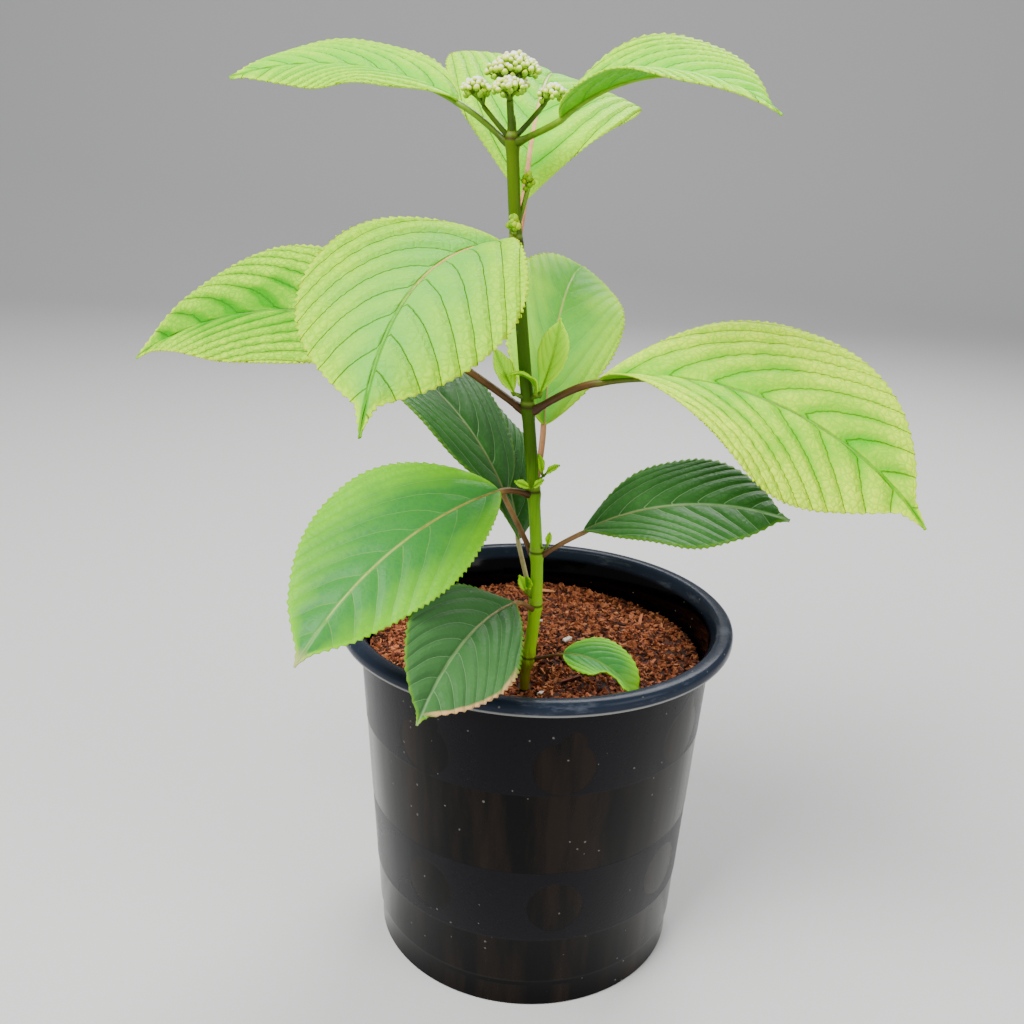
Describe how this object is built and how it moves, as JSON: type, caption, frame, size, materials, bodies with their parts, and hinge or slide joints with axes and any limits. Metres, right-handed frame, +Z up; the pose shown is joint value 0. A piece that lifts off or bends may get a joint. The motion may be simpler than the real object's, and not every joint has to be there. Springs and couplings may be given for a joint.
{
  "type": "hydrangea shrub",
  "caption": "Young upright hydrangea in a round plastic nursery pot, with broad toothed leaves in crossed pairs and a flower head in bud.",
  "frame": {"origin": "centre of the pot's flat underside", "axes": "+Z up, -Y towards the front from which the plant was pictured, +X to the right"},
  "size_m": [0.3914, 0.3254, 0.4956],
  "materials": {
    "pot": "glossy black with two finely textured bands",
    "compost": "rough damp coir chips",
    "stem": "smooth satin green",
    "leaf_pale": "satin, quilted between the veins",
    "leaf_lime": "satin, quilted between the veins",
    "leaf_green": "satin, quilted between the veins",
    "leaf_dark": "satin, quilted between the veins",
    "shoot": "satin",
    "flower_buds": "matte"
  },
  "bodies": {
    "root": {"pot": "pot", "compost": "compost", "stem": "stem", "leaf_tier7_left": "leaf_pale", "leaf_tier7_right": "leaf_pale", "leaf_tier6_front": "leaf_pale", "leaf_tier6_back": "leaf_pale", "leaf_tier5_left": "leaf_lime", "leaf_tier5_right": "leaf_lime", "leaf_tier4_front": "leaf_green", "leaf_tier4_back": "leaf_green", "leaf_tier3_left": "leaf_dark", "leaf_tier3_right": "leaf_dark", "leaf_tier2_front": "leaf_dark", "leaf_tier2_back": "leaf_dark", "leaf_tier1_right": "leaf_green", "shoot_tier5_right": "shoot", "shoot_tier5_left": "shoot", "shoot_tier4_right": "shoot", "shoot_tier4_front": "shoot", "shoot_tier3_right": "shoot", "shoot_tier2_left": "shoot", "buds_tier6_front": "shoot", "buds_tier6_back": "shoot", "flower_head": "flower_buds"}
  },
  "joints": []
}
